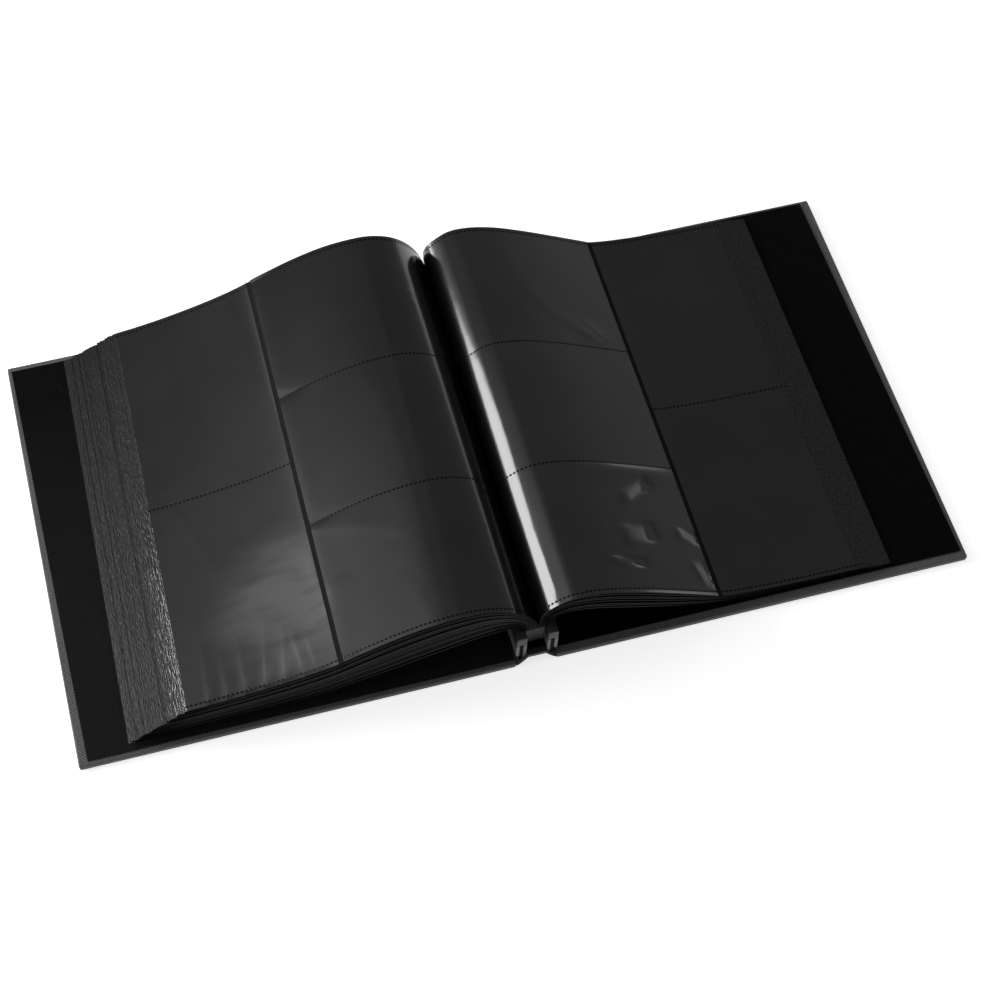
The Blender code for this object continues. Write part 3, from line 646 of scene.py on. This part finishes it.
def slab(name, top, bottom, lengths, heights, finish, place=0.0):
    """A closed thin sheet between two grids of points, mapped along and across the page from a place."""
    rows, columns = top.shape[:2]
    points = np.concatenate((top.reshape(-1, 3), bottom.reshape(-1, 3))) * MM
    under = rows * columns
    index = np.arange(under).reshape(rows, columns)
    quads = np.stack((index[:-1, :-1], index[1:, :-1], index[1:, 1:], index[:-1, 1:]), axis=-1)
    quads = quads.reshape(-1, 4)
    loop = np.concatenate((index[0, :], index[1:, -1], index[-1, -2::-1], index[-2:0:-1, 0]))
    after = np.roll(loop, -1)
    rim = np.stack((loop, after, after + under, loop + under), axis=-1)
    faces = np.concatenate((quads, quads[:, ::-1] + under, rim))
    mesh = bpy.data.meshes.new(name)
    mesh.from_pydata(points.tolist(), [], faces.tolist())
    for material in PAGE_FINISHES:
        mesh.materials.append(material)
    rim_finish = np.full(len(rim), ON_EDGE)
    rim_finish[columns + rows - 2:2 * columns + rows - 3] = ON_MARGIN
    finishes = np.concatenate((finish.reshape(-1), finish.reshape(-1), rim_finish))
    mesh.polygons.foreach_set("material_index", finishes.astype(np.int32))
    grid = np.stack(np.meshgrid(lengths + place, heights, indexing="ij"), axis=-1).reshape(-1, 2) * MM
    grid = np.concatenate((grid, grid))
    corner = np.zeros(len(mesh.loops), dtype=np.int32)
    mesh.loops.foreach_get("vertex_index", corner)
    mesh.uv_layers.new(name="page").data.foreach_set("uv", grid[corner].astype(np.float32).ravel())
    smooth_by_angle(mesh, SHARP_SHEET)
    return new_piece(name, mesh)


def is_top(number):
    """True for the two leaves that lie on top and lift."""
    return number in (LEFT_LEAVES, LEFT_LEAVES + 1)


def neighbour(number):
    """The leaf under a top leaf."""
    return number + leaf_side(number)


def attach_leaf(obj, number, body=None):
    """Lets a piece of a leaf ride its body, with a mesh of its own."""
    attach(obj, "leaf_%02d" % (body or number))
    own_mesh(obj)


def build_top_leaf(number):
    """A leaf whose page lies open, with its film standing off the card."""
    run, _, z = leaf_line(number, 0.0)
    start = float(np.interp(LIFT_HEIGHT, z[:ARC_CHORDS], run[:ARC_CHORDS]))
    slit, border = leaf_slit(number), LEAF_LENGTH - WELD_INSET
    steps = around((slit - SLIT_WIDTH / 2, slit + SLIT_WIDTH / 2, border + FILM_EDGE), (STEP_RUN,))
    welds = INNER_DIVIDERS + OUTER_DIVIDERS + (WELD_INSET - LEAF_HALF_HEIGHT, LEAF_HALF_HEIGHT - WELD_INSET)
    fine_start, fine_end, step = FINE_FILM[leaf_side(number)]
    fine = tuple(np.arange(fine_start, fine_end, step))
    plain = spaced(start, LEAF_LENGTH, FILM_NET, steps)
    plain = [s for s in plain if not fine_start - FINE_BEFORE < s < fine_end + FINE_AFTER]
    lengths = np.array(sorted(plain + list(fine)))
    heights = spaced(-LEAF_HALF_HEIGHT, LEAF_HALF_HEIGHT, FILM_NET, welds + around(welds, WELD_NET))
    points, normals = leaf_sheet(number, lengths, heights)
    relief = page_relief(number, lengths, heights)[..., None]
    ease = gutter_ease(number, lengths)[:, None, None]
    obj = slab("pocket_leaf_%02d" % number, points + normals * (LEAF_THICKNESS / 2 + relief),
               points - normals * (LEAF_THICKNESS / 2 + ease), lengths, heights,
               page_finish(number, lengths, heights),
               place=0.0 if leaf_side(number) < 0 else number * PLACE_STEP)
    attach_leaf(obj, number)
    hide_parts("leaf_%02d" % number)

    lengths = np.linspace(0.0, start, ROOT_ROWS)
    heights = spaced(-LEAF_HALF_HEIGHT, LEAF_HALF_HEIGHT, ROOT_NET)
    points, normals = leaf_sheet(number, lengths, heights)
    root = slab("pocket_leaf_%02d_root" % number, points + normals * LEAF_THICKNESS / 2,
                points - normals * LEAF_THICKNESS / 2, lengths, heights,
                page_finish(number, lengths, heights))
    attach_leaf(root, number, neighbour(number))


def build_leaf(number):
    """A leaf under the open pages, cut and laid a little off its neighbours."""
    rng = random.Random(number)
    shift = rng.uniform(-LAY_SHIFT, LAY_SHIFT)
    end = LEAF_LENGTH + rng.uniform(CUT_SHORT, CUT_LONG)
    slit = leaf_slit(number)
    steps = (slit - SLIT_WIDTH / 2, slit + SLIT_WIDTH / 2, LEAF_LENGTH - WELD_INSET)
    lengths = spaced(0.0, end, LEAF_NET[0], steps)
    heights = spaced(-LEAF_HALF_HEIGHT, LEAF_HALF_HEIGHT, LEAF_NET[1])
    points, normals = leaf_sheet(number, lengths, heights, shift)
    normals = normals * (LEAF_THICKNESS / 2 + leaf_bulge(lengths)[:, None, None])
    obj = slab("pocket_leaf_%02d" % number, points + normals, points - normals, lengths, heights,
               page_finish(number, lengths, heights), place=number * PLACE_STEP)
    attach_leaf(obj, number)
    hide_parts("leaf_%02d" % number)


def start_tree(name, inputs):
    """An empty geometry tree with its named inputs; gives the tree and the inputs' sockets."""
    tree = bpy.data.node_groups.new(name, "GeometryNodeTree")
    for label, kind in inputs.items():
        tree.interface.new_socket(label, in_out="INPUT", socket_type="NodeSocket" + kind)
    tree.interface.new_socket("Geometry", in_out="OUTPUT", socket_type="NodeSocketGeometry")
    return tree, add(tree, "NodeGroupInput").outputs


def finish_tree(tree, instances, material):
    """Makes the instances real, paints them and ends the tree."""
    solid = add(tree, "GeometryNodeRealizeInstances", {"Geometry": instances})
    painted = add(tree, "GeometryNodeSetMaterial", {"Geometry": solid, "Material": material})
    add(tree, "NodeGroupOutput", {"Geometry": painted})


def weld_dash_tree():
    """Presses dashes at a pitch along weld lines, turned along the line and facing out of the page."""
    tree, given = start_tree("weld_dashes", {"Geometry": "Geometry", "Pitch": "Float", "Size": "Vector",
                                             "Finish": "Material"})
    curve = add(tree, "GeometryNodeMeshToCurve", {"Mesh": given["Geometry"]})
    evenly = add(tree, "GeometryNodeResampleCurve", {"Curve": curve, "Length": given["Pitch"]}, mode="LENGTH")
    out = add(tree, "GeometryNodeInputNamedAttribute", {"Name": "page_normal"}, data_type="FLOAT_VECTOR")
    facing = add(tree, "FunctionNodeAlignRotationToVector", {"Vector": out.outputs["Attribute"]}, axis="Z")
    along = add(tree, "GeometryNodeInputTangent")
    turned = add(tree, "FunctionNodeAlignRotationToVector", {"Rotation": facing, "Vector": along},
                 axis="X", pivot_axis="Z")
    disc = add(tree, "GeometryNodeMeshCylinder", {"Vertices": 10, "Radius": 0.5, "Depth": 1.0})
    dashes = add(tree, "GeometryNodeInstanceOnPoints", {"Points": evenly, "Instance": disc.outputs["Mesh"],
                                                        "Rotation": turned, "Scale": given["Size"]})
    finish_tree(tree, dashes, given["Finish"])
    return tree


def layer_tree():
    """Stacks thin layers side by side, each cut a little differently."""
    tree, given = start_tree("fused_layers", {"Geometry": "Geometry", "Count": "Int", "Start": "Vector",
                                              "Offset": "Vector", "Size": "Vector", "Finish": "Material"})
    row = add(tree, "GeometryNodeMeshLine", {"Count": given["Count"], "Start Location": given["Start"],
                                             "Offset": given["Offset"]}, mode="OFFSET")
    layer = add(tree, "GeometryNodeMeshCube", {"Size": given["Size"]}).outputs["Mesh"]
    uneven = add(tree, "FunctionNodeRandomValue", {"Min": LAYER_LEAST, "Max": LAYER_MOST, "Seed": 7},
                 data_type="FLOAT_VECTOR")
    layers = add(tree, "GeometryNodeInstanceOnPoints", {"Points": row, "Instance": layer, "Scale": uneven})
    finish_tree(tree, layers, given["Finish"])
    return tree


def run_tree(name, source, tree, values):
    """A plain mesh object made by a node tree from a source mesh."""
    holder = new_piece(name + "_source", source)
    modifier = holder.modifiers.new("make", "NODES")
    modifier.node_group = tree
    for item in tree.interface.items_tree:
        if item.in_out == "INPUT" and item.name in values:
            modifier[item.identifier] = values[item.name]
    bpy.context.view_layer.update()
    made = holder.evaluated_get(bpy.context.evaluated_depsgraph_get())
    mesh = bpy.data.meshes.new_from_object(made)
    bpy.data.objects.remove(holder, do_unlink=True)
    return new_piece(name, mesh)


def build_dashes(number, tree, upper):
    """The weld dashes on the upper or the lower page of a leaf."""
    places, edges, normals = [], [], []
    for (s0, y0), (s1, y1) in weld_lines(number):
        count = int(math.hypot(s1 - s0, y1 - y0) / WELD_STEP)
        for k in range(count + 1):
            s = s0 + (s1 - s0) * k / count
            y = y0 + (y1 - y0) * k / count
            points, normal = leaf_sheet(number, s + PROBE, y + PROBE)
            lift = gutter_ease(number, s) if is_top(number) else leaf_bulge(s)
            if is_top(number) and upper:
                lift = page_relief(number, np.array((s,)), np.array((y,)))[0, 0]
            out = normal[1, 1] if upper else -normal[1, 1]
            if k:
                edges.append((len(places) - 1, len(places)))
            places.append(tuple((points[1, 1] + out * (LEAF_THICKNESS / 2 + lift)) * MM))
            normals.append(out)
    mesh = bpy.data.meshes.new("weld_lines")
    mesh.from_pydata(places, edges, [])
    layer = mesh.attributes.new("page_normal", "FLOAT_VECTOR", "POINT")
    layer.data.foreach_set("vector", np.array(normals, dtype=np.float32).ravel())
    obj = run_tree("weld_dashes_%02d_%s" % (number, "upper" if upper else "lower"), mesh, tree,
                   {"Pitch": DASH_PITCH * MM, "Size": [size * MM for size in DASH_SIZE], "Finish": WELD})
    attach_leaf(obj, number)


def rounded_ring(low, high, inset, radius):
    """Points of a rectangle with rounded corners, at an inset from a box's sides, in millimetres."""
    corners = ((high.x, high.y, 1, 1), (low.x, high.y, -1, 1),
               (low.x, low.y, -1, -1), (high.x, low.y, 1, -1))
    arcs = []
    for turn, (x, y, side_x, side_y) in enumerate(corners):
        middle = np.array((x - side_x * (inset + radius), y - side_y * (inset + radius)))
        angles = math.pi / 2 * (turn + np.linspace(0, 1, CORNER_POINTS))
        arcs.append(middle + radius * np.stack((np.cos(angles), np.sin(angles)), axis=-1))
    ring = []
    for arc, following in zip(arcs, arcs[1:] + arcs[:1]):
        share = np.linspace(0, 1, SIDE_POINTS + 2)[1:-1, None]
        ring += [arc, arc[-1] + (following[0] - arc[-1]) * share]
    return np.concatenate(ring)


def loft(name, outlines):
    """A closed piece of covering material through outlines of equal count, in millimetres."""
    count, last = len(outlines[0]), len(outlines) - 1
    faces = []
    for first in range(0, last * count, count):
        for k in range(count):
            after = (k + 1) % count
            faces.append((first + k, first + count + k, first + count + after, first + after))
    faces.append(tuple(range(count)))
    faces.append(tuple(range(last * count, (last + 1) * count))[::-1])
    mesh = bpy.data.meshes.new(name)
    mesh.from_pydata((np.concatenate(outlines) * MM).tolist(), [], faces)
    mesh.materials.append(COVERING)
    smooth_by_angle(mesh, SHARP_CLOTH)
    return new_piece(name, mesh)


def build_cover(label):
    """A cover's wrap: rounded soft edges, strips turned in over the board, mitred at the corners."""
    low, high = (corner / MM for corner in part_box(label + "_cover_wrap"))
    thick = high.z - low.z
    rings = [(TURN_IN - 1.0, 0.0), *WRAP_EDGE] + [(inset, thick - rise) for inset, rise in WRAP_EDGE[::-1]]
    rings += [(4.0, thick), (8.0, thick), (TURN_IN - 0.4, thick), (TURN_IN, thick - 0.2),
              (TURN_IN, thick - WRAP_THICKNESS), (WRAP_THICKNESS, thick - WRAP_THICKNESS),
              (WRAP_THICKNESS, WRAP_THICKNESS), (TURN_IN - 1.0, WRAP_THICKNESS)]
    top_rings = range(len(WRAP_EDGE) * 2, len(WRAP_EDGE) * 2 + 5)
    mitres = [CORNER_POINTS // 2 + corner * (CORNER_POINTS + SIDE_POINTS) for corner in range(4)]
    rng = random.Random(len(label))
    phase_x, phase_y = rng.uniform(0, 6.28), rng.uniform(0, 6.28)
    outlines = []
    for index, (inset, height) in enumerate(rings):
        ring = rounded_ring(low, high, inset, max(CORNER_RADIUS - inset, LEAST_RADIUS))
        z = np.full(len(ring), low.z + height)
        if index in top_rings:
            waves = np.sin(ring[:, 0] / WAVE_RUN_X + phase_x) + np.sin(ring[:, 1] / WAVE_RUN_Y + phase_y)
            z -= WRAP_WAVE * (2 + waves)
            z[mitres] -= MITRE_DEPTH
        outlines.append(np.column_stack((ring, z)))
    obj = loft(label + "_wrapped_cover", outlines)
    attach(obj, label + "_cover")
    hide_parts(label + "_cover_wrap")


def build_joint(label, side):
    """The covering material between a cover and the spine strip, with a slight sag."""
    low, high = (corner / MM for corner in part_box(label + "_joint_strip"))
    inner, outer = (low.x, high.x) if side > 0 else (high.x, low.x)
    share = np.linspace(0, 1, JOINT_POINTS)
    x = outer + side * JOINT_OUTER_GAP + (inner - outer - side * (JOINT_OUTER_GAP + JOINT_INNER_GAP)) * share
    z = low.z + JOINT_OUTER_GAP + (high.z - low.z - 2 * JOINT_OUTER_GAP) * share
    z -= JOINT_SAG * np.sin(math.pi * share)
    along = np.stack((np.gradient(x), np.gradient(z)), axis=-1)
    along /= np.linalg.norm(along, axis=1, keepdims=True)
    out = np.stack((along[:, 1], -along[:, 0]), axis=-1) * JOINT_THICKNESS / 2
    line = np.stack((x, z), axis=-1)
    outline = np.concatenate((line + out, (line - out)[::-1]))
    outlines = [np.insert(outline, 1, y, axis=1) for y in np.linspace(low.y, high.y, JOINT_ROWS)]
    obj = loft(label + "_joint_cloth", outlines)
    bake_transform(obj)
    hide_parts(label + "_joint_strip")


def build_rail(label):
    """A binding rail with its sharp edges broken."""
    node = label + "_rail"
    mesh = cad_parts[node].data.copy()
    shape = bmesh.new()
    shape.from_mesh(mesh)
    bmesh.ops.remove_doubles(shape, verts=shape.verts, dist=0.002 * MM)
    bmesh.ops.dissolve_limit(shape, angle_limit=0.02, verts=shape.verts, edges=shape.edges)
    sharp = [edge for edge in shape.edges if edge.calc_face_angle(0.0) > SHARP_CORNER]
    bmesh.ops.bevel(shape, geom=sharp, offset=RAIL_BEVEL * MM, segments=2, profile=0.5, affect="EDGES",
                    clamp_overlap=True)
    shape.to_mesh(mesh)
    shape.free()
    mesh.materials.clear()
    mesh.materials.append(RAIL)
    smooth_by_angle(mesh, SHARP_RAIL)
    obj = new_piece(label + "_binding_rail", mesh)
    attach(obj, "binding")
    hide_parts(node)


def build_bundle(tree):
    """The leaves' fused feet between the rails, down to the core's underside."""
    low, high = (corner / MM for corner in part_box("binding_core"))
    count = LEFT_LEAVES + RIGHT_LEAVES
    top = RAIL_TOP - BUNDLE_SINK
    start = (leaf_foot(1) * MM, 0, (low.z + top) / 2 * MM)
    size = (LEAF_PITCH * MM, (high.y - low.y) * MM, (top - low.z) * MM)
    obj = run_tree("fused_leaf_feet", bpy.data.meshes.new("no_points"), tree,
                   {"Count": count, "Start": start, "Offset": (LEAF_PITCH * MM, 0, 0), "Size": size,
                    "Finish": FUSED})
    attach(obj, "binding")
    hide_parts("binding_core")


def dress_nodes():
    """Finishes for the CAD nodes that keep their shape."""
    finishes = {"cover_board": BOARD, "cover_lining": LINING, "hinge_tongue": LINING, "spine_board": BOARD,
                "spine_wrap": SHADED_SPINE, "spine_lining": LINING, "binding_rivet": STEEL}
    for name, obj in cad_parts.items():
        for part, material in finishes.items():
            if part in name:
                obj.data.materials.clear()
                obj.data.materials.append(material)


def add_softbox(name, location, size, radiance, aim, roll=0.0):
    """A soft light at a place, facing along a direction and rolled about it by an angle in degrees."""
    lamp = bpy.data.lights.new(name, "AREA")
    lamp.shape = "RECTANGLE"
    lamp.size, lamp.size_y = size
    lamp.energy = radiance * math.pi * size[0] * size[1]
    obj = new_piece(name, lamp)
    obj.visible_camera = False
    obj.location = location
    turn = Vector(aim).to_track_quat("-Z", "Y") @ Quaternion((0, 0, 1), math.radians(roll))
    obj.rotation_euler = turn.to_euler()


def bearing(azimuth, elevation):
    """Direction from the album at a bearing off +Y and a height, in degrees."""
    turn, height = math.radians(azimuth), math.radians(elevation)
    return Vector((math.cos(height) * math.sin(turn), math.cos(height) * math.cos(turn), math.sin(height)))


def build_stage():
    """Paper sweep, soft lights and the camera at the photograph's angle."""
    bpy.ops.mesh.primitive_plane_add(size=12.0, location=(0, 0, -0.0005))
    floor = bpy.context.object
    floor.name = "paper_sweep"
    floor.data.materials.append(paper_sweep())

    world = bpy.data.worlds.new("studio")
    bpy.context.scene.world = world
    world.use_nodes = True
    tree = world.node_tree
    tree.nodes.clear()
    path = add(tree, "ShaderNodeLightPath").outputs
    dim = add(tree, "ShaderNodeBackground", {"Color": (1, 1, 1, 1), "Strength": 0.25})
    white = add(tree, "ShaderNodeBackground", {"Color": (1, 1, 1, 1), "Strength": 1.0})
    both = add(tree, "ShaderNodeMixShader", {0: path["Is Camera Ray"], 1: dim, 2: white})
    add(tree, "ShaderNodeOutputWorld", {"Surface": both})

    right = bearing(62.0, 3.5)
    add_softbox("side_softbox", (-1.9, 0.9, 0.72), (1.27, 1.28), 11.5, (1, 0, 0), SIDE_ROLL)
    add_softbox("bounce_card", right * 2.2, (2.2, 0.27), 0.7, -right)
    turn = math.radians(OVERHEAD_TURN)
    for reach, radiance in ((0.0, 0.8), (0.17, 0.5), (0.42, 0.3), (0.9, 0.1)):
        u, v = -2.0 + 0.8 * reach, -0.47 + reach
        place = (u * math.cos(turn) - v * math.sin(turn), u * math.sin(turn) + v * math.cos(turn), 2.2)
        add_softbox("overhead_softbox", place, (2.3, 2.3), radiance, (0, 0, -1), OVERHEAD_TURN)

    camera = bpy.data.cameras.new("photo_camera")
    camera.sensor_width = 36.0
    camera.lens = 70.32
    camera.shift_x = 0.0609
    camera.shift_y = 0.01255
    camera.clip_start, camera.clip_end = 0.05, 50.0
    viewer = new_piece("photo_camera", camera)
    viewer.location = CAMERA_PLACE
    viewer.rotation_euler = Vector(CAMERA_AIM).to_track_quat("-Z", "Y").to_euler()
    bpy.context.scene.camera = viewer
    bpy.context.scene.view_settings.view_transform = "Standard"


dress_nodes()
for name, side in (("left", -1), ("right", 1)):
    build_cover(name)
    build_joint(name, side)
    build_rail(name)
build_bundle(layer_tree())
dash_tree = weld_dash_tree()
for leaf in range(1, LEFT_LEAVES + RIGHT_LEAVES + 1):
    if is_top(leaf):
        build_top_leaf(leaf)
        build_dashes(leaf, dash_tree, True)
        build_dashes(leaf, dash_tree, False)
        build_dashes(neighbour(leaf), dash_tree, True)
    else:
        build_leaf(leaf)
build_stage()
